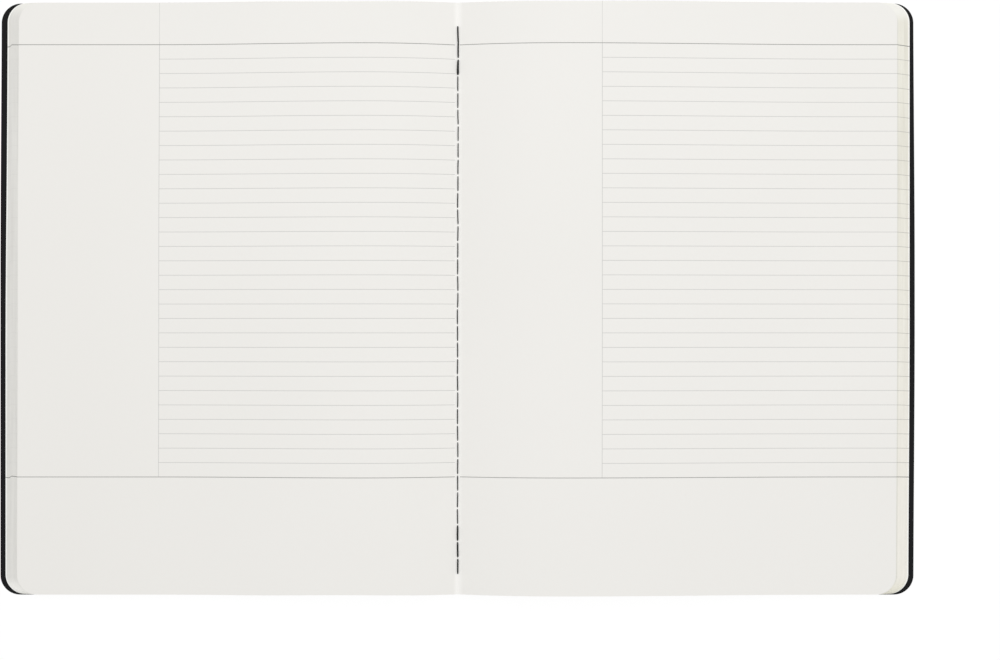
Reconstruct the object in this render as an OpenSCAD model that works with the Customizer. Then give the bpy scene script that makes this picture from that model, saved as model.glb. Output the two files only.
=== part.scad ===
// Composition notebook lying open at its middle sheet, seen with the fold along Y.
// The origin is on the table under the middle of the fold, +X runs over the right
// page, +Y to the head of the page and +Z up.

/* [Leaves] */
// Height of a leaf from head to tail
leaf_h = 247.6; // [200:0.1:300]
// Width of the lowest leaf from the fold to its fore edge
leaf_w = 189.7; // [176:0.1:230]
// Radius of a leaf's outer corners
leaf_r = 8.2; // [4:0.1:20]
// How much nearer the fold the top leaf ends than the lowest one
creep = 5.8; // [2:0.1:9]
// Number of visible steps in the fore edge of each side
creep_steps = 9; // [5:1:12]
// Thickness of the leaves that lie flat on each side
flat_t = 3.6; // [2.4:0.1:6]

/* [Arched leaves] */
// Thickness of the top leaves at the fore edge
edge_t = 0.2; // [0.2:0.05:0.6]
// Thickness of the top leaves in the fold
fold_t = 0.6; // [0.4:0.1:1.2]
// How far the flat leaves dip towards the fold
dip = 1.6; // [1:0.1:2]
// Distance from the fold over which the flat leaves dip
dip_w = 8; // [5:0.5:14]
// Height of the left page's crown above the table
left_crown_h = 11; // [8:0.1:16]
// Distance of the left page's crown from the fold
left_crown_x = 39; // [30:1:60]
// Width over which the left page comes down from its crown
left_slope_w = 86; // [60:1:120]
// Height of the right page's crown above the table
right_crown_h = 11.3; // [8:0.1:16]
// Distance of the right page's crown from the fold
right_crown_x = 43; // [30:1:60]
// Width over which the right page comes down from its crown
right_slope_w = 122; // [60:1:126]

/* [Cover] */
// Thickness of the cover card
cover_t = 0.4; // [0.3:0.05:0.8]
// How far the cover shows beyond the lowest leaf at the fore edge
cover_lip = 2.2; // [0.5:0.1:4]
// How far the cover shows beyond the leaves at head and tail
cover_end_lip = 0.4; // [0.2:0.1:3]
// Radius of the cover's outer corners
cover_r = 8.2; // [4:0.1:20]
// Width of the spine between the two covers
spine_w = 6; // [4.5:0.1:9]
// Gap between the spine and the inner edge of each cover
spine_gap = 0.1; // [0.05:0.01:0.3]

/* [Ruling] */
// Thickness that stands for the printed ink
ink_t = 0.05; // [0.03:0.01:0.1]
// Height of the head line above the middle of the page
head_line_y = 106.15; // [95:0.05:110]
// Distance between two ruled lines
rule_pitch = 6.025; // [5:0.005:6.1]
// Number of spaces between the head line and the foot line
rule_spaces = 30; // [20:1:30]
// Width of the head line and the foot line
border_line_w = 0.26; // [0.2:0.02:0.6]
// Width of a ruled line and of the upright line
rule_line_w = 0.2; // [0.14:0.02:0.5]
// Distance of the left page's upright line from the fold
left_upright_x = 124.9; // [100:0.1:150]
// Distance of the right page's upright line from the fold
right_upright_x = 60.3; // [40:0.1:90]
// Gap between the printed lines and the fold
print_gap = 1; // [0.9:0.1:3]

/* [Sewing] */
// Number of stitches along the fold
stitches = 33; // [20:1:36]
// Number of doubled stitches at each end of the seam
double_stitches = 3; // [1:1:5]
// Bare length of the fold at the head
seam_head_margin = 9.5; // [5:0.1:20]
// Bare length of the fold at the tail
seam_tail_margin = 8.2; // [5:0.1:20]
// Radius of the sewing thread
thread_r = 0.18; // [0.12:0.01:0.22]
// Radius of the doubled thread at the ends of the seam
double_thread_r = 0.28; // [0.24:0.01:0.32]
// Distance over which the thread dives into a needle hole
dive = 0.45; // [0.3:0.05:0.7]
// Clearance around the thread in a needle hole
needle_clear = 0.1; // [0.05:0.01:0.2]
// Gap between a thread and the paper or card that it lies on
seat_gap = 0.05; // [0.04:0.01:0.1]

/* [Hidden] */
$fn = 64;

card_colour = [0.16, 0.16, 0.17];
leaf_colour = [0.93, 0.93, 0.91];
edge_colour = [0.88, 0.88, 0.86];
ink_colour = [0.7, 0.7, 0.69];
thread_colour = [0.1, 0.1, 0.1];

// Heights above the table
flat_top = cover_t + flat_t;
page_edge_h = flat_top + edge_t;
flat_fold_h = flat_top - dip;
page_fold_h = flat_fold_h + fold_t;

// The covers turn about this height, so that they lie parallel when the book is shut
hinge_h = page_edge_h;
page_w = leaf_w - creep;
cover_w = leaf_w + cover_lip;
cover_h = leaf_h + 2 * cover_end_lip;
step_t = flat_t / creep_steps;

// The spine bows up by the thickness of the thread that lies under it
spine_half = spine_w / 2;
spine_rise = 2 * (double_thread_r + seat_gap);
spine_bow_r = (spine_half * spine_half + spine_rise * spine_rise) / (2 * spine_rise);
relief_h = cover_t + spine_rise + 0.3;
relief_w = spine_half + 1.6;

seam_tail_y = seam_tail_margin - leaf_h / 2;
seam_head_y = leaf_h / 2 - seam_head_margin;
stitch = (seam_head_y - seam_tail_y) / stitches;
needle_r = dive + double_thread_r + needle_clear;
lock_h = (page_fold_h + cover_t) / 2;
lock_gap = 0.06;

foot_line_y = head_line_y - rule_spaces * rule_pitch;
beyond = 30;
crown_points = 7;
slope_points = 10;
thread_sides = 8;

// Half of a sheet with rounded outer corners, from x1 out to x2
module half_sheet(x1, x2, h, r) {
    translate([x1, -h / 2]) square([x2 - r - x1, h]);
    translate([x1, r - h / 2]) square([x2 - x1, h - 2 * r]);
    translate([x2 - r, h / 2 - r]) circle(r);
    translate([x2 - r, r - h / 2]) circle(r);
}

// A section in the XZ plane, drawn out along Y over the length h
module along_fold(h) {
    rotate([90, 0, 0]) linear_extrude(h, center = true) children();
}

module needle_holes() {
    for (i = [0:stitches]) {
        translate([0, seam_tail_y + i * stitch, 0]) cylinder(h = beyond, r = needle_r, $fn = 24);
    }
}

// Height of the page at the distance u from the fold
function page_h(u, crown_h, crown_x, slope_w) =
    u <= crown_x
        ? page_fold_h + (crown_h - page_fold_h) * (1 - pow(1 - u / crown_x, 2))
        : page_edge_h + (crown_h - page_edge_h) * (1 + cos(180 * min(1, (u - crown_x) / slope_w))) / 2;

// Distances from the fold at which the page's curve has a point
function page_stations(crown_x, slope_w) = concat(
    [for (i = [0:crown_points]) crown_x * i / crown_points],
    [for (i = [1:slope_points]) crown_x + slope_w * i / slope_points],
    [leaf_w]
);

function page_curve(crown_h, crown_x, slope_w, lift) = [
    for (u = page_stations(crown_x, slope_w)) [u, page_h(u, crown_h, crown_x, slope_w) + lift]
];

function reversed(list) = [for (i = [len(list) - 1:-1:0]) list[i]];

module cover() {
    color(card_colour)
        linear_extrude(cover_t)
            half_sheet(spine_half + spine_gap, cover_w, cover_h, cover_r);
}

module spine_strip() {
    color(card_colour)
        difference() {
            along_fold(cover_h)
                intersection() {
                    translate([-spine_half, 0]) square([spine_w, cover_t + spine_rise]);
                    difference() {
                        translate([0, cover_t + spine_rise - spine_bow_r]) circle(spine_bow_r, $fn = 200);
                        translate([0, spine_rise - spine_bow_r]) circle(spine_bow_r, $fn = 200);
                    }
                }
            needle_holes();
        }
}

// The leaves that lie flat, one step for each group of leaves at the fore edge
module flat_leaves() {
    color(edge_colour)
        difference() {
            for (i = [0:creep_steps - 1]) {
                translate([0, 0, cover_t + i * step_t])
                    linear_extrude(step_t)
                        half_sheet(0, leaf_w - creep * i / creep_steps, leaf_h, leaf_r);
            }
            along_fold(leaf_h + 2)
                polygon([[-1, flat_fold_h], [0, flat_fold_h], [dip_w, flat_top], [dip_w, flat_top + 1], [-1, flat_top + 1]]);
            along_fold(leaf_h + 2)
                polygon([[-1, -1], [relief_w, -1], [relief_w, cover_t], [0, relief_h], [-1, relief_h]]);
            needle_holes();
        }
}

// The leaves that rise from the fold in an arch and come down to the flat ones
module arched_leaves(crown_h, crown_x, slope_w) {
    color(leaf_colour)
        difference() {
            intersection() {
                linear_extrude(beyond) half_sheet(0, page_w, leaf_h, leaf_r);
                along_fold(leaf_h + 2)
                    polygon(concat(
                        [[leaf_w, flat_top], [dip_w, flat_top], [0, flat_fold_h]],
                        page_curve(crown_h, crown_x, slope_w, 0)
                    ));
            }
            needle_holes();
        }
}

// One printed line from x1 to x2 at the height y of the page
module line(x1, x2, y, w) {
    translate([x1, y - w / 2]) square([x2 - x1, w]);
}

module ruling_plan(upright_x, rule_x1, rule_x2) {
    line(print_gap, page_w, head_line_y, border_line_w);
    line(print_gap, page_w, foot_line_y, border_line_w);
    translate([upright_x - rule_line_w / 2, foot_line_y]) square([rule_line_w, leaf_h / 2 - foot_line_y]);
    for (i = [1:rule_spaces - 1]) {
        line(rule_x1, rule_x2, head_line_y - i * rule_pitch, rule_line_w);
    }
}

module ruling(crown_h, crown_x, slope_w, upright_x, rule_x1, rule_x2) {
    color(ink_colour)
        intersection() {
            linear_extrude(beyond) ruling_plan(upright_x, rule_x1, rule_x2);
            along_fold(leaf_h + 2)
                polygon(concat(
                    page_curve(crown_h, crown_x, slope_w, 0),
                    reversed(page_curve(crown_h, crown_x, slope_w, ink_t))
                ));
        }
}

// Points along a seam thread: y along the fold, height, and the thread's radius there.
// Each stitch lies at the height of run_h and dives to lock_at in the needle holes.
function is_double(i) = i < double_stitches || i >= stitches - double_stitches;
function seam_r(i) = is_double(min(i, stitches - 1)) ? double_thread_r : thread_r;
function seam_route(run_h, side, lock_at) = concat(
    [
        for (i = [0:stitches - 1])
            let (y = seam_tail_y + i * stitch, r = seam_r(i), h = run_h + side * (r + seat_gap))
                each [
                    [y, lock_at + side * (thread_r + lock_gap), thread_r],
                    [y + dive * 0.6, h - side * r, r],
                    [y + dive, h, r],
                    [y + stitch - dive, h, r],
                    [y + stitch - dive * 0.6, h - side * r, r]
                ]
    ],
    [[seam_head_y, lock_at + side * (thread_r + lock_gap), thread_r]]
);

module thread(route) {
    last = len(route) - 1;
    ring_points = [
        for (i = [0:last])
            let (
                before = route[max(0, i - 1)],
                after = route[min(last, i + 1)],
                slope = atan2(after[1] - before[1], after[0] - before[0])
            )
                for (j = [0:thread_sides - 1])
                    let (a = 360 * j / thread_sides, r = route[i][2])
                        [
                            r * cos(a),
                            route[i][0] - r * sin(a) * sin(slope),
                            route[i][1] + r * sin(a) * cos(slope)
                        ]
    ];
    side_faces = [
        for (i = [0:last - 1])
            for (j = [0:thread_sides - 1])
                let (k = (j + 1) % thread_sides)
                    [i * thread_sides + j, (i + 1) * thread_sides + j, (i + 1) * thread_sides + k, i * thread_sides + k]
    ];
    start_face = [for (j = [0:thread_sides - 1]) j];
    end_face = [for (j = [thread_sides - 1:-1:0]) last * thread_sides + j];
    color(thread_colour)
        polyhedron(points = ring_points, faces = concat([start_face], side_faces, [end_face]), convexity = 10);
}

module back_cover() {
    cover();
}

module front_cover() {
    mirror([1, 0, 0]) cover();
}

module right_leaves() {
    flat_leaves();
}

module left_leaves() {
    mirror([1, 0, 0]) flat_leaves();
}

module right_top_leaves() {
    arched_leaves(right_crown_h, right_crown_x, right_slope_w);
}

module left_top_leaves() {
    mirror([1, 0, 0]) arched_leaves(left_crown_h, left_crown_x, left_slope_w);
}

module right_ruling() {
    ruling(right_crown_h, right_crown_x, right_slope_w, right_upright_x, right_upright_x, page_w);
}

module left_ruling() {
    mirror([1, 0, 0])
        ruling(left_crown_h, left_crown_x, left_slope_w, left_upright_x, print_gap, left_upright_x);
}

module inner_thread() {
    thread(seam_route(page_fold_h, 1, lock_h));
}

module outer_thread() {
    thread(seam_route(spine_rise, -1, lock_h));
}

back_cover();
front_cover();
spine_strip();
right_leaves();
left_leaves();
right_top_leaves();
left_top_leaves();
right_ruling();
left_ruling();
inner_thread();
outer_thread();
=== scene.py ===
import math
import random

import bmesh
import bpy
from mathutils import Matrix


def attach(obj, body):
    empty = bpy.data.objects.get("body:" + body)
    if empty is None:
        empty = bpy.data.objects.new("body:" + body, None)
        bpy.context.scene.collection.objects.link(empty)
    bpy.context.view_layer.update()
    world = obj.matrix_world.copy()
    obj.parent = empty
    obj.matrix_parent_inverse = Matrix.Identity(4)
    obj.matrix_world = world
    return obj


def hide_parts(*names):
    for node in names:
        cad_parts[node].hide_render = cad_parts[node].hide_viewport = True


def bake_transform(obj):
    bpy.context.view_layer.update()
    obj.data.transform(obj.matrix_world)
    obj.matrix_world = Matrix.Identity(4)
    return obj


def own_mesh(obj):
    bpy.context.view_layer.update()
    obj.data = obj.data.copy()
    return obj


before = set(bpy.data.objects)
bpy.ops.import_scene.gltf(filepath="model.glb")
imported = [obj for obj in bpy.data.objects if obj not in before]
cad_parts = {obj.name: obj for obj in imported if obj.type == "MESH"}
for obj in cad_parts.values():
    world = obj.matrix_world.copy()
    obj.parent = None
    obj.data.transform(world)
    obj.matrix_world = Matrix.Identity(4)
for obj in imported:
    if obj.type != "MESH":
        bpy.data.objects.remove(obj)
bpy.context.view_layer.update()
mm = 0.001
random.seed(7)


# Picking and shaping helpers

def deselectAll():
    bpy.ops.object.select_all(action="DESELECT")


def editPiece(piece):
    deselectAll()
    piece.select_set(True)
    bpy.context.view_layer.objects.active = piece
    bpy.ops.object.mode_set(mode="EDIT")


def leaveEdit():
    bpy.ops.object.mode_set(mode="OBJECT")


def pickVerts(piece, test):  # selects the vertices whose place passes the test
    bpy.ops.mesh.select_mode(type="VERT")
    bpy.ops.mesh.select_all(action="DESELECT")
    mesh = bmesh.from_edit_mesh(piece.data)
    for vert in mesh.verts:
        vert.select = bool(test(vert.co))
    mesh.select_flush_mode()
    bmesh.update_edit_mesh(piece.data)


def pickFaces(piece, test):  # selects the faces whose middle and normal pass the test
    bpy.ops.mesh.select_mode(type="FACE")
    bpy.ops.mesh.select_all(action="DESELECT")
    mesh = bmesh.from_edit_mesh(piece.data)
    for face in mesh.faces:
        face.select = bool(test(face.calc_center_median(), face.normal))
    mesh.select_flush_mode()
    bmesh.update_edit_mesh(piece.data)


def cutAcross(axis, places):  # cuts the sheet straight through at each place along an axis
    along = (1, 0, 0) if axis == "x" else (0, 1, 0)
    for place in places:
        bpy.ops.mesh.select_all(action="SELECT")
        bpy.ops.mesh.bisect(plane_co=[a * place for a in along], plane_no=along)


def flatSheet(name, left, right, height, radius, roundLeft, cutsX, cutsY=()):
    # one flat sheet at the origin's level, with rounded outer corners, left in edit mode
    deselectAll()
    bpy.ops.mesh.primitive_plane_add(size=1, location=(0, 0, 0))
    sheet = bpy.context.active_object
    sheet.name = name
    sheet.data.name = name
    bpy.ops.object.mode_set(mode="EDIT")
    bpy.ops.mesh.select_all(action="SELECT")
    bpy.ops.transform.resize(value=(right - left, height, 1), center_override=(0, 0, 0))
    bpy.ops.transform.translate(value=((right + left) / 2, 0, 0))
    pickVerts(sheet, lambda co: co.x > 0 or (roundLeft and co.x < 0))
    bpy.ops.mesh.bevel(
        offset_type="OFFSET", offset=radius, segments=bookShape["cornerSteps"],
        affect="VERTICES", profile=0.5,  # a round corner
    )
    cutAcross("x", cutsX)
    cutAcross("y", cutsY)
    bpy.ops.mesh.select_mode(type="FACE")
    bpy.ops.mesh.select_all(action="SELECT")
    return sheet


def extrudeUp(rise):
    bpy.ops.mesh.extrude_region_move(TRANSFORM_OT_translate={"value": (0, 0, rise)})


def extrudeFlat(scaleX, scaleY):  # a ledge: the new outline lies at the same height
    bpy.ops.mesh.extrude_region_move(TRANSFORM_OT_translate={"value": (0, 0, 0)})
    bpy.ops.transform.resize(value=(scaleX, scaleY, 1), center_override=(0, 0, 0))


def shapeVerts(piece, place):  # moves every vertex to where place puts it
    for vert in piece.data.vertices:
        vert.co = place(vert.co)


def keepRest(piece):  # the place of each point while the book lies open, for patterns that follow it
    rest = piece.data.attributes.new("rest", "FLOAT_VECTOR", "POINT")
    for vert, item in zip(piece.data.vertices, rest.data):
        item.vector = vert.co


def finishPiece(piece, materials, angle=30):  # edges sharper than the angle stay sharp
    for material in materials:
        piece.data.materials.append(material)
    deselectAll()
    piece.select_set(True)
    bpy.context.view_layer.objects.active = piece
    bpy.ops.object.shade_smooth_by_angle(angle=math.radians(angle))


def spread(start, end, steps):  # even places from start to end
    return [start + (end - start) * i / steps for i in range(steps + 1)]


def eased(value):  # from 0 to 1 with a soft start and end
    share = max(0, min(1, value))
    return share * share * (3 - 2 * share)


# Shader helpers

class Wire:  # a socket that maths can be written with
    def __init__(self, finish, socket):
        self.finish = finish
        self.socket = socket

    def maths(self, operation, first, second=None):
        links = {0: first} if second is None else {0: first, 1: second}
        return self.finish.node("ShaderNodeMath", {"operation": operation}, links)

    def __add__(self, other):
        return self.maths("ADD", self, other)

    def __radd__(self, other):
        return self.maths("ADD", other, self)

    def __sub__(self, other):
        return self.maths("SUBTRACT", self, other)

    def __rsub__(self, other):
        return self.maths("SUBTRACT", other, self)

    def __mul__(self, other):
        return self.maths("MULTIPLY", self, other)

    def __rmul__(self, other):
        return self.maths("MULTIPLY", other, self)

    def __truediv__(self, other):
        return self.maths("DIVIDE", self, other)

    def __lt__(self, other):
        return self.maths("LESS_THAN", self, other)

    def __gt__(self, other):
        return self.maths("GREATER_THAN", self, other)

    def whole(self):
        return self.maths("ROUND", self)

    def size(self):
        return self.maths("ABSOLUTE", self)


class Finish:  # one material and the nodes that make it
    def __init__(self, name):
        self.material = bpy.data.materials.new(name)
        self.material.use_nodes = True
        self.tree = self.material.node_tree
        self.shader = self.tree.nodes["Principled BSDF"]

    def node(self, kind, settings=None, links=None, output=0):
        node = self.tree.nodes.new(kind)
        for key, value in (settings or {}).items():
            setattr(node, key, value)
        for key, value in (links or {}).items():
            self.feed(node.inputs[key], value)
        return Wire(self, node.outputs[output])

    def feed(self, socket, value):
        if isinstance(value, Wire):
            self.tree.links.new(value.socket, socket)
        elif hasattr(socket.default_value, "__len__") and len(value) < len(socket.default_value):
            socket.default_value = (*value, 1)
        else:
            socket.default_value = value

    def set(self, **values):
        for key, value in values.items():
            self.feed(self.shader.inputs[key.replace("_", " ")], value)

    def rest(self):
        return self.node("ShaderNodeAttribute", {"attribute_name": "rest"}, output="Vector")

    def parts(self, vector):
        split = self.tree.nodes.new("ShaderNodeSeparateXYZ")
        self.feed(split.inputs[0], vector)
        return [Wire(self, out) for out in split.outputs]

    def stretched(self, vector, scale):
        return self.node("ShaderNodeMapping", {}, {"Vector": vector, "Scale": scale})

    def noise(self, vector, scale, detail, rough=0.5):
        return self.node(
            "ShaderNodeTexNoise", {},
            {"Vector": vector, "Scale": scale, "Detail": detail, "Roughness": rough},
        )

    def ramp(self, value, start, end, kind="SMOOTHSTEP"):  # 0 at the start and 1 at the end
        return self.node(
            "ShaderNodeMapRange", {"interpolation_type": kind},
            {"Value": value, "From Min": start, "From Max": end},
        )

    def blendColours(self, factor, first, second):
        return self.node("ShaderNodeMix", {"data_type": "RGBA"}, {0: factor, 6: first, 7: second}, output=2)

    def bump(self, height, look):
        return self.node(
            "ShaderNodeBump", {},
            {"Height": height, "Strength": look["bumpStrength"], "Distance": look["bumpDepth"]},
            output="Normal",
        )


def sRGB(red, green, blue):  # screen colour to the linear colour that Blender works in
    shares = [value / 255 for value in (red, green, blue)]
    return tuple(c / 12.92 if c <= 0.04045 else ((c + 0.055) / 1.055) ** 2.4 for c in shares)


# Shape of the open book, in metres

bookShape = {
    "leafHeight": 247.6 * mm,
    "lowestLeaf": 189.7 * mm,
    "topLeaf": 183.9 * mm,
    "leafRadius": 8.2 * mm,
    "cornerSteps": 14,
    "cutsWithin": 110 * mm,
    "cardThickness": 0.4 * mm,
    "flatTop": 4.0 * mm,
    "edgeTop": 4.2 * mm,
    "foldDip": 1.15 * mm,
    "foldDipWidth": 2.8 * mm,
    "foldPage": 3.0 * mm,
    "spineHalf": 3 * mm,
    "spineRise": 0.66 * mm,
    "bendHalf": 1.8 * mm,
    "leftLean": 0.0029,
    "rightLean": 0.0030,
    "leanFrom": 10 * mm,
    "leanOver": 125 * mm,
}


def flatLeavesTop(x):  # the flat leaves are pinched towards the seam
    share = min(1, abs(x) / bookShape["foldDipWidth"])
    return bookShape["flatTop"] - bookShape["foldDip"] * (1 - share)


def leaning(x, y):  # the left half is a little narrower at its head, the right half at its tail
    toEnd = y if x < 0 else -y
    lean = bookShape["leftLean"] if x < 0 else bookShape["rightLean"]
    return x * (1 - lean * eased((toEnd - bookShape["leanFrom"]) / bookShape["leanOver"]))


def spineBow(x):  # how far the card is held up by the thread under it
    share = min(1, abs(x) / bookShape["spineHalf"])
    return bookShape["spineRise"] * (1 - share * share)


# Paper, print, card and thread

paperLook = {
    "pale": sRGB(240, 238.4, 234.8),
    "warm": sRGB(235, 233.4, 229),
    # painted shade: a darker paper colour towards the outer edges of the pages
    "outerShade": sRGB(233, 231, 226.5),
    "outerShadeShare": 0.1,
    "outerShadeLeft": 0.3,
    "outerShadeFrom": 60 * mm,
    "outerShadeTo": 170 * mm,
    "cloudScale": 9,
    "cloudDetail": 3,
    "cloudShare": 0.6,
    "fibreScale": 1400,
    "fibreDetail": 4,
    "fibreRough": 0.6,
    "fibreStretch": (1, 2.2, 1),
    "fibreShare": 0.4,
    "roughness": 0.82,
    "roughnessSpread": 0.1,
    "bumpStrength": 0.25,
    "bumpDepth": 0.03 * mm,
    "specular": 0.25,
    # painted highlight: the paper is made paler along the fold
    "creaseShift": 0.25 * mm,
    "creaseFrom": 2.3 * mm,
    "creaseTo": 0.3 * mm,
    "creaseHighlightShare": 0.55,
    "creaseHighlight": sRGB(250, 249, 246),
}


def paperFinish():
    finish = Finish("creamPaper")
    rest = finish.rest()
    clouds = finish.noise(rest, paperLook["cloudScale"], paperLook["cloudDetail"])
    fibres = finish.noise(
        finish.stretched(rest, paperLook["fibreStretch"]),
        paperLook["fibreScale"], paperLook["fibreDetail"], paperLook["fibreRough"],
    )
    tone = clouds * paperLook["cloudShare"] + fibres * paperLook["fibreShare"]
    x = finish.parts(rest)[0]
    # painted highlight along the fold, strongest at its middle
    fromCrease = (x - paperLook["creaseShift"]).size()
    creaseHighlightMask = finish.ramp(fromCrease, paperLook["creaseFrom"], paperLook["creaseTo"])
    page = finish.blendColours(tone, paperLook["warm"], paperLook["pale"])
    outer = finish.ramp(x.size(), paperLook["outerShadeFrom"], paperLook["outerShadeTo"])
    outer = outer * ((x < 0) * paperLook["outerShadeLeft"] + paperLook["outerShadeShare"])  # painted shade: the paper is darker towards the outer edges, more so on the left
    page = finish.blendColours(outer, page, paperLook["outerShade"])
    finish.set(
        Base_Color=finish.blendColours(creaseHighlightMask * paperLook["creaseHighlightShare"], page, paperLook["creaseHighlight"]),
        Roughness=paperLook["roughness"] + (fibres - 0.5) * paperLook["roughnessSpread"],
        Normal=finish.bump(fibres, paperLook),
    )
    finish.set(Specular_IOR_Level=paperLook["specular"])
    return finish.material


inkLook = {
    "rule": sRGB(196, 195.3, 192.5),
    "border": sRGB(138, 137.7, 134.8),
    "borderWorn": sRGB(163, 162.4, 159.3),
    "ruleWorn": sRGB(205, 204.4, 201.5),
    "fadeAbove": 1 * mm,
    "fadeShare": 0.33,
    "speckScale": 700,
    "speckDetail": 3,
    "roughness": 0.75,
    "roughnessSpread": 0.1,
    "specular": 0.25,
}


def inkFinish(name, inked, worn, head):
    finish = Finish(name)
    rest = finish.rest()
    specks = finish.noise(rest, inkLook["speckScale"], inkLook["speckDetail"])
    above = finish.parts(rest)[1] > head + inkLook["fadeAbove"]  # the print is fainter over the head line
    colour = finish.blendColours(specks, inked, worn)
    finish.set(
        Base_Color=finish.blendColours(above * inkLook["fadeShare"], colour, paperLook["pale"]),
        Roughness=inkLook["roughness"] + specks * inkLook["roughnessSpread"],
    )
    finish.set(Specular_IOR_Level=inkLook["specular"])
    return finish.material


leafEdgeLook = {
    # the edges' own tone, with painted light on the right ledges and painted shade making the left ledges
    # darker and greyer
    "rightLitPale": sRGB(239, 237.5, 228.5),
    "rightLitDeep": sRGB(226, 223.5, 212.5),
    "leftShadedPale": sRGB(229, 228, 224),
    "leftShadedDeep": sRGB(220.4, 219, 215),
    # painted light: the right ledges are made paler towards the tail
    "tail": sRGB(243, 240, 234),
    "tailFrom": 70 * mm,
    "tailTo": -80 * mm,
    "tailShare": 0.6,
    # painted shade on the right ledges just under the top leaf
    "shade": sRGB(226, 225, 217),
    "shadeDepth": 0.28 * mm,
    # painted highlights: the ledges are made paler near the head and the tail
    "rightHeadGlow": sRGB(240, 239, 234),
    "leftHeadGlow": sRGB(236, 235, 230),
    "headGlowFrom": 115 * mm,
    "headGlowTo": 120.5 * mm,
    "leftGlowLater": 2.5 * mm,
    "rightTailGlow": sRGB(239, 237, 225),
    "leftTailGlow": sRGB(250, 249, 245),
    "tailGlowFrom": -116 * mm,
    "tailGlowTo": -122.5 * mm,
    # painted highlight: a pale rim on the lowest leaf next to the card
    "rimHighlight": sRGB(250, 250, 247),
    "rimDepth": 0.36 * mm,
    "bandScale": 1300,
    "bandDetail": 3,
    "bandStretch": (0.01, 0.02, 1),
    "bandFrom": 0.3,
    "bandTo": 0.7,
    "bandShare": 0.9,
    "leafScale": 9000,
    "leafDetail": 1,
    "leafStretch": (0.02, 0.01, 1),
    "leafShare": 0.1,
    "roughness": 0.88,
    "roughnessSpread": 0.1,
    "bumpStrength": 0.05,
    "bumpDepth": 0.02 * mm,
    "specular": 0.2,
    "lineWidth": 0.28 * mm,
    "rightLineDrop": 0.05,
    "leftLineDrop": -0.085,
    "leftStepFrom": 2.7 * mm,
    "leftStepTo": 4.3 * mm,
    "leftStep": 0.9 * mm,
    "lineJitter": 0.15 * mm,
    "ruleShowsRight": 0.35,
    "ruleShowsLeft": 0.05,
}


def leafEdgeFinish(printing):
    # each group of leaves has its own tone; painted light and shade make the left ledges darker, the ledges
    # paler at head and tail, and the print runs over the ledges
    look = leafEdgeLook
    finish = Finish("leafEdges")
    rest = finish.rest()
    x, y, z = finish.parts(rest)
    bands = finish.noise(finish.stretched(rest, look["bandStretch"]), look["bandScale"], look["bandDetail"])
    bands = finish.ramp(bands, look["bandFrom"], look["bandTo"], "LINEAR")
    leaves = finish.noise(finish.stretched(rest, look["leafStretch"]), look["leafScale"], look["leafDetail"])
    tone = bands * look["bandShare"] + leaves * look["leafShare"]
    # painted light and shade: lit colours for the right ledges, darker shaded colours for the left ones
    right = finish.blendColours(tone, look["rightLitDeep"], look["rightLitPale"])
    left = finish.blendColours(tone, look["leftShadedDeep"], look["leftShadedPale"])
    # painted light: the right ledges turn paler towards the tail
    toTail = finish.ramp(y, look["tailFrom"], look["tailTo"], "LINEAR")
    right = finish.blendColours(toTail * look["tailShare"], right, look["tail"])
    # painted shade: the topmost right ledges next to the page are darker
    pageShadeMask = (x > 0) * (z > bookShape["flatTop"] - look["shadeDepth"])
    leaf = finish.blendColours(pageShadeMask, finish.blendColours(x > 0, left, right), look["shade"])
    # painted highlights: the ledge colour turns paler towards the head and the tail
    for end, place in (("head", y - (x < 0) * look["leftGlowLater"]), ("tail", y)):
        glow = finish.ramp(place, look[end + "GlowFrom"], look[end + "GlowTo"])
        endName = end.capitalize() + "Glow"
        colour = finish.blendColours(x > 0, look["left" + endName], look["right" + endName])
        leaf = finish.blendColours(glow, leaf, colour)
    # painted highlight on the lowest leaf, just above the card
    rimHighlightMask = z < bookShape["cardThickness"] + look["rimDepth"]
    paper = finish.blendColours(rimHighlightMask, leaf, look["rimHighlight"])
    outside = x.size() - bookShape["topLeaf"]
    leftStep = finish.ramp(outside, look["leftStepFrom"], look["leftStepTo"])
    leftDrop = outside * look["leftLineDrop"] + leftStep * look["leftStep"]  # level first, then a step down
    drop = (x > 0) * outside * look["rightLineDrop"] + (x < 0) * leftDrop
    drop = drop + (leaves - 0.5) * look["lineJitter"]
    steps = (printing["head"] - y - drop) / printing["pitch"]
    nearest = steps.whole()
    onLine = ((steps - nearest).size() * printing["pitch"]) < (look["lineWidth"] / 2)
    within = (nearest > -0.5) * (nearest < printing["spaces"] + 0.5)
    isBorder = (nearest < 0.5) + (nearest > printing["spaces"] - 0.5)
    ruleShows = (x > 0) * look["ruleShowsRight"] + look["ruleShowsLeft"]
    mask = onLine * within * (isBorder + ruleShows * (1 - isBorder))
    finish.set(
        Base_Color=finish.blendColours(mask, paper, inkLook["border"]),
        Roughness=look["roughness"] + (bands - 0.5) * look["roughnessSpread"],
        Normal=finish.bump(leaves, look),
    )
    finish.set(Specular_IOR_Level=look["specular"])
    return finish.material


cardLook = {
    "black": sRGB(10, 10, 12),
    "rubbed": sRGB(28, 28, 30),
    "grainScale": 1100,
    "grainDetail": 4,
    "grainRough": 0.6,
    "grainShare": 0.45,
    "cloudScale": 25,
    "cloudDetail": 3,
    "cloudShare": 0.2,
    "roughness": 0.5,
    "roughnessSpread": 0.25,
    "bumpStrength": 0.35,
    "bumpDepth": 0.05 * mm,
    "specular": 0.12,
}


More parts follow.
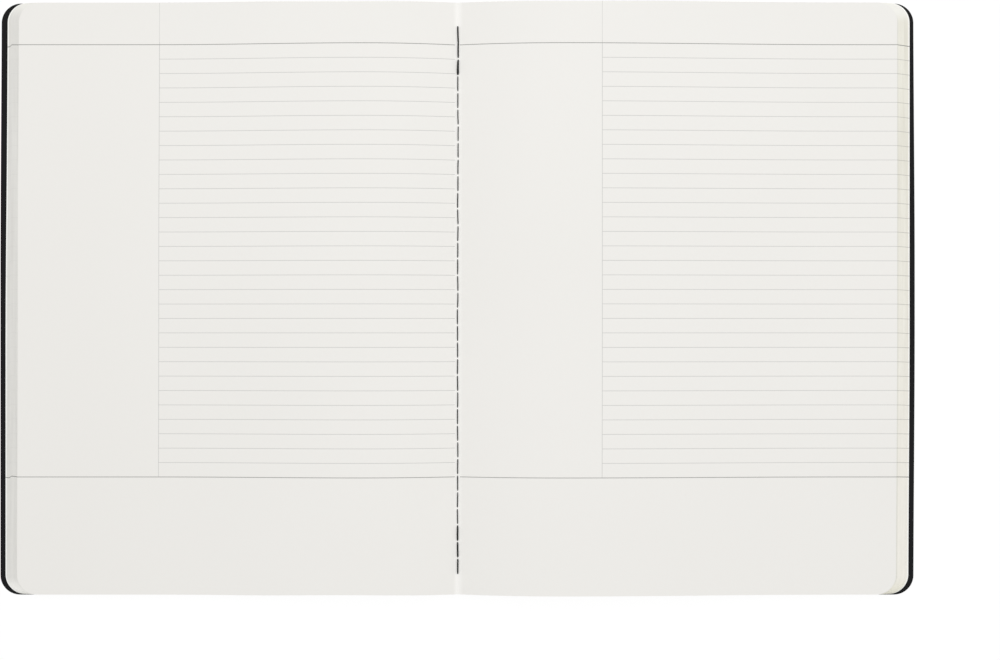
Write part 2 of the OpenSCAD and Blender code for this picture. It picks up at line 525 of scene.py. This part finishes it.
def cardFinish():
    finish = Finish("blackCard")
    rest = finish.rest()
    grain = finish.noise(rest, cardLook["grainScale"], cardLook["grainDetail"], cardLook["grainRough"])
    clouds = finish.noise(rest, cardLook["cloudScale"], cardLook["cloudDetail"])
    tone = grain * cardLook["grainShare"] + clouds * cardLook["cloudShare"]
    finish.set(
        Base_Color=finish.blendColours(tone, cardLook["black"], cardLook["rubbed"]),
        Roughness=cardLook["roughness"] + grain * cardLook["roughnessSpread"],
        Normal=finish.bump(grain, cardLook),
    )
    finish.set(Specular_IOR_Level=cardLook["specular"])
    return finish.material


threadLook = {
    "black": sRGB(14, 14, 14),
    "lit": sRGB(38, 38, 37),
    "plyLength": 0.9 * mm,
    "plies": 2,
    "roughness": 0.75,
    "bumpStrength": 0.8,
    "bumpDepth": 0.06 * mm,
    "specular": 0.3,
}


def threadFinish():
    # twisted plies: slanting stripes on the thread's own length and girth
    finish = Finish("blackThread")
    along, around = finish.parts(finish.node("ShaderNodeUVMap", {"uv_map": "twist"}))[:2]
    turn = along / threadLook["plyLength"] + around * threadLook["plies"]
    ply = finish.node("ShaderNodeMath", {"operation": "PINGPONG"}, {0: turn, 1: 0.5}) * 2  # 0 to 1 and back
    finish.set(
        Base_Color=finish.blendColours(ply, threadLook["black"], threadLook["lit"]),
        Roughness=threadLook["roughness"],
        Normal=finish.bump(ply, threadLook),
    )
    finish.set(Specular_IOR_Level=threadLook["specular"])
    return finish.material


printing = {
    "head": 106.15 * mm,
    "pitch": 6.025 * mm,
    "spaces": 30,
    "borderWidth": 0.28 * mm,
    "ruleWidth": 0.22 * mm,
    "leftUpright": 124.9 * mm,
    "rightUpright": 60.3 * mm,
    "foldGap": 1.0 * mm,
}

paper = paperFinish()
ruleInk = inkFinish("ruleInk", inkLook["rule"], inkLook["ruleWorn"], printing["head"])
borderInk = inkFinish("borderInk", inkLook["border"], inkLook["borderWorn"], printing["head"])
leafEdges = leafEdgeFinish(printing)
card = cardFinish()
thread = threadFinish()
print("finishes made")


# Cover card, one folded sheet

coverShape = {
    "halfWidth": 191.9 * mm,
    "height": 248.4 * mm,
    "radius": 8.2 * mm,
    "edgeRound": 0.07 * mm,
    "edgeSteps": 2,
    "edgeAngle": 60,
    "bendCuts": 20,
    "lengthCuts": 20,
    "spineTuck": 0.0016,
    "spineTuckWidth": 14 * mm,
    "headTrim": 0.0026,
    "headLean": 0.0032,
}


def bendStations():  # further cuts beside the fold, where card and leaves bow
    sideways = [2.2 * mm, 2.6 * mm, 3 * mm, 4 * mm, 8 * mm, 14 * mm, 24 * mm]
    return [side * place for place in sideways for side in (-1, 1)]


def lengthCuts(count):  # even cuts across, from just inside the tail to just inside the head
    return spread(-bookShape["cutsWithin"], bookShape["cutsWithin"], count)


def cardLeaning(x, y):  # the back cover is also a little narrower at its head
    ahead = eased((y - bookShape["leanFrom"]) / bookShape["leanOver"]) if x > 0 else 0
    return leaning(x, y) * (1 - coverShape["headLean"] * ahead)


def tuckedIn(x, y):  # the card ends a little short of the leaves at the spine
    share = max(0, 1 - abs(x) / coverShape["spineTuckWidth"])
    trim = coverShape["headTrim"] if y > 0 else 0
    return y * (1 - trim - coverShape["spineTuck"] * share)


def makeCover():
    half = coverShape["halfWidth"]
    bend = bookShape["bendHalf"]
    cover = flatSheet(
        "coverCard", -half, half, coverShape["height"], coverShape["radius"], True,
        spread(-bend, bend, coverShape["bendCuts"]) + bendStations(), lengthCuts(coverShape["lengthCuts"]),
    )
    extrudeUp(bookShape["cardThickness"])
    leaveEdit()
    soften = cover.modifiers.new("soften", "BEVEL")
    soften.width = coverShape["edgeRound"]
    soften.segments = coverShape["edgeSteps"]
    soften.limit_method = "ANGLE"
    soften.angle_limit = math.radians(coverShape["edgeAngle"])
    bpy.ops.object.modifier_apply(modifier=soften.name)
    shapeVerts(cover, lambda co: (cardLeaning(co.x, co.y), tuckedIn(co.x, co.y), co.z + spineBow(co.x)))
    keepRest(cover)
    finishPiece(cover, [card])
    return cover


cover = makeCover()
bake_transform(cover)
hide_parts("back_cover", "front_cover", "spine_strip")
print("cover made:", len(cover.data.polygons), "faces")


# Leaves that lie flat, leaf by leaf

stackShape = {
    "leaves": 34,
    "bendCuts": 16,
    "lengthCuts": 12,
    "crevice": 0.06 * mm,
    "endCrevice": 0.09 * mm,
    "creviceShare": 0.2,
    "stepJitter": 0.3,
    "jog": 0.08 * mm,
    "headLean": 0.002,
    "leanFrom": 20 * mm,
    "leanOver": 80 * mm,
    "headLonger": 0.002,
    "tailLonger": 0.0008,
}


def stackLeaning(x, y, share):  # the lowest left leaves lean in a little more at the head
    ahead = eased((y + stackShape["leanFrom"]) / stackShape["leanOver"]) if x < 0 else 0
    return leaning(x, y) * (1 - stackShape["headLean"] * (1 - share) * ahead)


def makeFlatLeaves():
    low = bookShape["lowestLeaf"]
    bend = bookShape["bendHalf"]
    height = bookShape["leafHeight"]
    cutsX = spread(-bend, bend, stackShape["bendCuts"]) + bendStations()
    cutsX += [-bookShape["foldDipWidth"], bookShape["foldDipWidth"]]
    stack = flatSheet(
        "flatLeaves", -low, low, height, bookShape["leafRadius"], True,
        cutsX, lengthCuts(stackShape["lengthCuts"]),
    )
    count = stackShape["leaves"]
    leafRise = (bookShape["flatTop"] - bookShape["cardThickness"]) / count
    stepIn = (low - bookShape["topLeaf"]) / count
    width = low
    tall = height / 2
    for leaf in range(count):
        extrudeUp(leafRise * (1 - stackShape["creviceShare"]))
        inX = width - stackShape["crevice"] - stepIn
        inY = height / 2 - stackShape["endCrevice"]
        extrudeFlat(inX / width, inY / tall)
        extrudeUp(leafRise * stackShape["creviceShare"])
        if leaf == count - 1:
            break
        nextWidth = low - stepIn * (leaf + 1) + random.uniform(-1, 1) * stackShape["stepJitter"] * stepIn
        nextTall = height / 2 - random.uniform(0, stackShape["jog"])
        extrudeFlat(nextWidth / inX, nextTall / inY)
        width = nextWidth
        tall = nextTall
    leaveEdit()
    bottom = bookShape["cardThickness"]
    fullRise = bookShape["flatTop"] - bottom

    def pinch(co):
        share = co.z / fullRise
        floor = bottom + spineBow(co.x)
        longer = stackShape["headLonger"] if co.y > 0 else stackShape["tailLonger"]
        y = co.y * (1 + longer * (1 - share))
        return (stackLeaning(co.x, co.y, share), y, floor + share * (flatLeavesTop(co.x) - floor))

    shapeVerts(stack, pinch)
    keepRest(stack)
    finishPiece(stack, [leafEdges])
    return stack


stack = makeFlatLeaves()
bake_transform(stack)
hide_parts("right_leaves", "left_leaves")
print("flat leaves made:", len(stack.data.polygons), "faces")


# Top leaves, arched at the fold, with the printed ruling cut into the page

pageShape = {
    "leaves": 9,
    "riseCuts": 12,
    "slopeCuts": 16,
    "crevice": 0.16 * mm,
    "creviceShare": 0.35,
    "left": {
        "side": -1, "crownHeight": 11.0 * mm, "crownX": 39 * mm, "slope": 86 * mm,
        "headBow": 0.41 * mm, "tailBow": 0.5 * mm, "outerTrim": 0.25 * mm, "tailWider": 0.002,
    },
    "right": {
        "side": 1, "crownHeight": 11.3 * mm, "crownX": 43 * mm, "slope": 122 * mm,
        "headBow": 0.32 * mm, "tailBow": 0, "outerTrim": 0, "tailWider": 0,
    },
    "bowWidth": 90 * mm,
    "outerFrom": 105 * mm,
    "outerOver": 60 * mm,
    "endFrom": 108 * mm,
    "endOver": 15.8 * mm,
}


def unevenPage(u, y, arch):
    # arched leaves end a little short at head and tail, and the outer part isn't quite square
    bow = math.sin(math.pi * min(1, u / pageShape["bowWidth"])) ** 2
    if y > 0:
        outer = eased((u - pageShape["outerFrom"]) / pageShape["outerOver"])
        trim = arch["headBow"] * bow + arch["outerTrim"] * outer
    else:
        trim = arch["tailBow"] * bow
    end = eased((abs(y) - pageShape["endFrom"]) / pageShape["endOver"])
    wider = 1 + arch["tailWider"] * eased((-y - bookShape["leanFrom"]) / bookShape["leanOver"])
    return u * wider, y - math.copysign(trim * end, y)


def pageHeight(u, arch):
    crown = arch["crownHeight"]
    if u <= arch["crownX"]:
        return bookShape["foldPage"] + (crown - bookShape["foldPage"]) * (1 - (1 - u / arch["crownX"]) ** 2)
    down = min(1, (u - arch["crownX"]) / arch["slope"])
    return bookShape["edgeTop"] + (crown - bookShape["edgeTop"]) * (1 + math.cos(math.pi * down)) / 2


def lineEdges(y, width):
    return [y - width / 2, y + width / 2]


def makePage(name, arch, upright, ruleSpan):
    foot = printing["head"] - printing["spaces"] * printing["pitch"]
    ruleYs = [printing["head"] - i * printing["pitch"] for i in range(1, printing["spaces"])]
    crown, flat = arch["crownX"], arch["crownX"] + arch["slope"]
    cutsX = spread(0, crown, pageShape["riseCuts"])[1:] + spread(crown, flat, pageShape["slopeCuts"])[1:]
    cutsX += lineEdges(upright, printing["ruleWidth"]) + [printing["foldGap"]]
    cutsY = lineEdges(printing["head"], printing["borderWidth"]) + lineEdges(foot, printing["borderWidth"])
    for y in ruleYs:
        cutsY += lineEdges(y, printing["ruleWidth"])
    width = bookShape["topLeaf"]
    height = bookShape["leafHeight"]
    page = flatSheet(name, 0, width, height, bookShape["leafRadius"], False, cutsX, cutsY)
    count = pageShape["leaves"]
    tall = height / 2
    inX = width - pageShape["crevice"]
    inY = tall - pageShape["crevice"]
    for leaf in range(count):
        extrudeUp((1 - pageShape["creviceShare"]) / count)
        if leaf == count - 1:
            break
        extrudeFlat(inX / width, inY / tall)
        extrudeUp(pageShape["creviceShare"] / count)
        extrudeFlat(width / inX, tall / inY)
    topLevel = 1 - pageShape["creviceShare"] / count

    def inked(middle, normal):  # 0 for bare paper, 1 for a ruled or upright line, 2 for a head or foot line
        onTop = middle.z > topLevel * 0.99 and normal.z > 0.5
        if not onTop:
            return 0
        if middle.x > printing["foldGap"]:
            for y in (printing["head"], foot):
                if abs(middle.y - y) < printing["borderWidth"] / 2:
                    return 2
        if abs(middle.x - upright) < printing["ruleWidth"] / 2 and middle.y > foot:
            return 1
        if ruleSpan[0] < middle.x < ruleSpan[1]:
            if min(abs(middle.y - y) for y in ruleYs) < printing["ruleWidth"] / 2:
                return 1
        return 0

    for slot in (paper, ruleInk, borderInk):
        page.data.materials.append(slot)
    for index in (1, 2):
        pickFaces(page, lambda middle, normal: inked(middle, normal) == index)
        page.active_material_index = index
        bpy.ops.object.material_slot_assign()
    leaveEdit()

    def arched(co):
        base = flatLeavesTop(co.x)
        level = co.z / topLevel
        u, y = unevenPage(co.x, co.y, arch)
        return (leaning(u * arch["side"], co.y), y, base + level * (pageHeight(co.x, arch) - base))

    shapeVerts(page, arched)
    if arch["side"] < 0:
        editPiece(page)
        bpy.ops.mesh.select_all(action="SELECT")
        bpy.ops.mesh.flip_normals()
        leaveEdit()
    keepRest(page)
    finishPiece(page, [])
    return page


rightPage = makePage(
    "rightPage", pageShape["right"], printing["rightUpright"],
    (printing["rightUpright"], bookShape["topLeaf"]),
)
leftPage = makePage(
    "leftPage", pageShape["left"], printing["leftUpright"], (printing["foldGap"], printing["leftUpright"]),
)
for page, body, side in ((rightPage, "back_half", "right"), (leftPage, "front_half", "left")):
    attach(page, body)
    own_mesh(page)
    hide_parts(side + "_top_leaves", side + "_ruling")
print("pages made:", len(rightPage.data.polygons), len(leftPage.data.polygons), "faces")


# Sewing thread, one run inside the fold and one along the spine

seam = {
    "stitches": 33,
    "double": 3,
    "headGirths": (1.22, 0.88, 0.92),
    "headSwell": 0.38,
    "closedHole": 0.2,
    "tailGirths": (0.88, 0.95, 1.0),
    "headMargin": 9.5 * mm,
    "tailMargin": 8.2 * mm,
    "thin": 0.21 * mm,
    "thick": 0.345 * mm,
    "sunk": 0.22 * mm,
    "dive": 0.95 * mm,
    "seat": 0.05 * mm,
    "lock": 1.7 * mm,
    "lockGap": 0.06 * mm,
    "waver": 0.13 * mm,
    "foldShift": 0.05 * mm,
    "headDrift": 0.17 * mm,
    "driftFrom": 0.3,
    "driftOver": 0.5,
    "neck": 0.8,
    "halfSunk": 0.5,
    "fullySunk": 1.2,
    "middle": (0.35, 0.5, 0.65),
    "roundSteps": 2,
    "smoothAngle": 60,
    "outerGirth": 0.86,
}


def seamRoute(runHeight, side, girth):
    # place and radius of each point: a stitch lies along the fold and dives into the needle holes
    tail = seam["tailMargin"] - bookShape["leafHeight"] / 2
    head = bookShape["leafHeight"] / 2 - seam["headMargin"]
    count = seam["stitches"]
    stitch = (head - tail) / count
    thin = seam["thin"] * girth
    lockHeight = seam["lock"] + side * (thin + seam["lockGap"])
    inner = side > 0
    holes = []
    for i in range(count + 1):
        ahead = max(0, min(1, (i / count - seam["driftFrom"]) / seam["driftOver"]))
        drift = seam["foldShift"] + seam["headDrift"] * ahead if inner else 0
        holes.append(drift + random.uniform(-1, 1) * seam["waver"])

    def holeReach(hole):  # how far the thread dives beside a hole; the last but one at the head shows no gap
        reach = seam["closedHole"] if inner and hole == count - 1 else 1
        return seam["sunk"] * reach, seam["dive"] * reach

    route = []
    for i in range(count):
        radius = thin
        if i < seam["double"]:
            radius = seam["thick"] * seam["tailGirths"][i] * girth
        elif i >= count - seam["double"]:
            fullness = seam["headGirths"][i - count + seam["double"]] if inner else 1
            radius = seam["thick"] * fullness * girth
        swell = seam["headSwell"] if inner and i == count - seam["double"] else 0
        start = tail + i * stitch
        run = runHeight + side * (radius + seam["seat"])
        (sunk, dive), (sunkEnd, diveEnd) = holeReach(i), holeReach(i + 1)
        bow = random.uniform(-1, 1) * seam["waver"] / 2
        neck = radius * seam["neck"]
        halfHeight = run - side * radius * seam["halfSunk"]
        sunkHeight = runHeight - side * radius * seam["fullySunk"]
        places = [
            (0, lockHeight, thin),
            (sunk, sunkHeight, neck),
            ((sunk + dive) / 2, halfHeight, neck),
            (dive, run, radius),
            *[(stitch * share, run, radius) for share in seam["middle"]],
            (stitch - diveEnd, run, radius),
            (stitch - (sunkEnd + diveEnd) / 2, halfHeight, neck),
            (stitch - sunkEnd, sunkHeight, neck),
        ]
        for along, height, thickness in places:
            share = along / stitch
            x = holes[i] + (holes[i + 1] - holes[i]) * share + bow * math.sin(math.pi * share)
            route.append((x, start + along, height, thickness * (1 + swell * (0.5 - share))))
    route.append((holes[-1], head, lockHeight, thin))
    return route


def makeThread(name, runHeight, side, girth):
    route = seamRoute(runHeight, side, girth)
    line = bpy.data.curves.new(name, "CURVE")
    line.dimensions = "3D"
    line.bevel_depth = 1
    line.bevel_resolution = seam["roundSteps"]
    line.use_fill_caps = True
    spline = line.splines.new("POLY")
    spline.points.add(len(route) - 1)
    for point, (x, y, z, radius) in zip(spline.points, route):
        point.co = (x, y, z, 1)
        point.radius = radius
    piece = bpy.data.objects.new(name, line)
    bpy.context.scene.collection.objects.link(piece)
    deselectAll()
    piece.select_set(True)
    bpy.context.view_layer.objects.active = piece
    bpy.ops.object.convert(target="MESH")
    piece = bpy.context.active_object
    twist = piece.data.uv_layers.new(name="twist")
    for loop in piece.data.loops:
        co = piece.data.vertices[loop.vertex_index].co
        nearest = min(route, key=lambda point: abs(point[1] - co.y))
        around = math.atan2(co.z - nearest[2], co.x - nearest[0]) / (2 * math.pi)
        twist.data[loop.index].uv = (co.y, around)
    finishPiece(piece, [thread], seam["smoothAngle"])
    return piece


innerThread = makeThread("innerThread", bookShape["foldPage"], 1, 1)
outerThread = makeThread("outerThread", bookShape["spineRise"], -1, seam["outerGirth"])
for piece, node in ((innerThread, "inner_thread"), (outerThread, "outer_thread")):
    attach(piece, "spine")
    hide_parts(node)
print("threads made:", len(innerThread.data.polygons), len(outerThread.data.polygons), "faces")


# Table, light and camera

stageLook = {
    "tableSize": 6,
    "tableLevel": -0.1 * mm,
    "tableColour": sRGB(238, 238, 238),
    "tableRoughness": 0.9,
    "tableSpecular": 0.1,
    "cameraWhite": 1.02,
    "cameraShare": 0.94,
    "keyPlace": (0.1, 0.62, 1.5),
    "keySize": 1.2,
    "keyPower": 11.87,
    "skyStrength": 0.65,
}


def makeStage():
    deselectAll()
    bpy.ops.mesh.primitive_plane_add(size=stageLook["tableSize"], location=(0, 0, stageLook["tableLevel"]))
    table = bpy.context.active_object
    table.name = "table"
    finish = Finish("paleTable")
    finish.set(
        Base_Color=stageLook["tableColour"], Roughness=stageLook["tableRoughness"],
        Specular_IOR_Level=stageLook["tableSpecular"],
    )
    paths = finish.tree.nodes.new("ShaderNodeLightPath")
    seen = Wire(finish, paths.outputs["Is Camera Ray"])
    mirrored = Wire(finish, paths.outputs["Is Glossy Ray"])
    through = Wire(finish, paths.outputs["Is Transmission Ray"])
    glow = finish.node("ShaderNodeEmission", {}, {"Color": (1, 1, 1), "Strength": stageLook["cameraWhite"]})
    lit = Wire(finish, finish.shader.outputs[0])
    showsWhite = (seen + mirrored + through) * stageLook["cameraShare"]
    both = finish.node("ShaderNodeMixShader", {}, {0: showsWhite, 1: lit, 2: glow})
    finish.tree.links.new(both.socket, finish.tree.nodes["Material Output"].inputs["Surface"])
    table.data.materials.append(finish.material)


def makeLight():
    data = bpy.data.lights.new("windowLight", "AREA")
    data.shape = "SQUARE"
    data.size = stageLook["keySize"]
    data.energy = stageLook["keyPower"]
    lamp = bpy.data.objects.new("windowLight", data)
    bpy.context.scene.collection.objects.link(lamp)
    lamp.location = stageLook["keyPlace"]
    aim = -lamp.location
    lamp.rotation_euler = aim.to_track_quat("-Z", "Y").to_euler()
    world = bpy.data.worlds.new("softSky")
    bpy.context.scene.world = world
    world.use_nodes = True
    nodes, links = world.node_tree.nodes, world.node_tree.links
    sky = nodes["Background"]
    sky.inputs["Color"].default_value = (1, 1, 1, 1)
    sky.inputs["Strength"].default_value = stageLook["skyStrength"]
    white = nodes.new("ShaderNodeBackground")  # what the camera and reflections see
    white.inputs["Color"].default_value = (1, 1, 1, 1)
    paths = nodes.new("ShaderNodeLightPath")
    seen = paths.outputs["Is Camera Ray"]
    for ray in ("Is Glossy Ray", "Is Transmission Ray"):
        either = nodes.new("ShaderNodeMath")
        either.operation = "MAXIMUM"
        links.new(seen, either.inputs[0])
        links.new(paths.outputs[ray], either.inputs[1])
        seen = either.outputs[0]
    both = nodes.new("ShaderNodeMixShader")
    links.new(seen, both.inputs[0])
    links.new(sky.outputs[0], both.inputs[1])
    links.new(white.outputs[0], both.inputs[2])
    links.new(both.outputs[0], nodes["World Output"].inputs["Surface"])


cameraShape = {
    "place": (17.8 * mm, -13.15 * mm, 1.0),
    "lens": 85.73,
    "sensor": 36,
    "nearest": 10 * mm,
}


def makeCamera():
    data = bpy.data.cameras.new("overhead")
    data.lens = cameraShape["lens"]
    data.sensor_width = cameraShape["sensor"]
    data.clip_start = cameraShape["nearest"]
    camera = bpy.data.objects.new("overhead", data)
    bpy.context.scene.collection.objects.link(camera)
    camera.location = cameraShape["place"]
    bpy.context.scene.camera = camera


makeStage()
makeLight()
makeCamera()
bpy.context.scene.view_settings.view_transform = "Standard"
print("stage made")
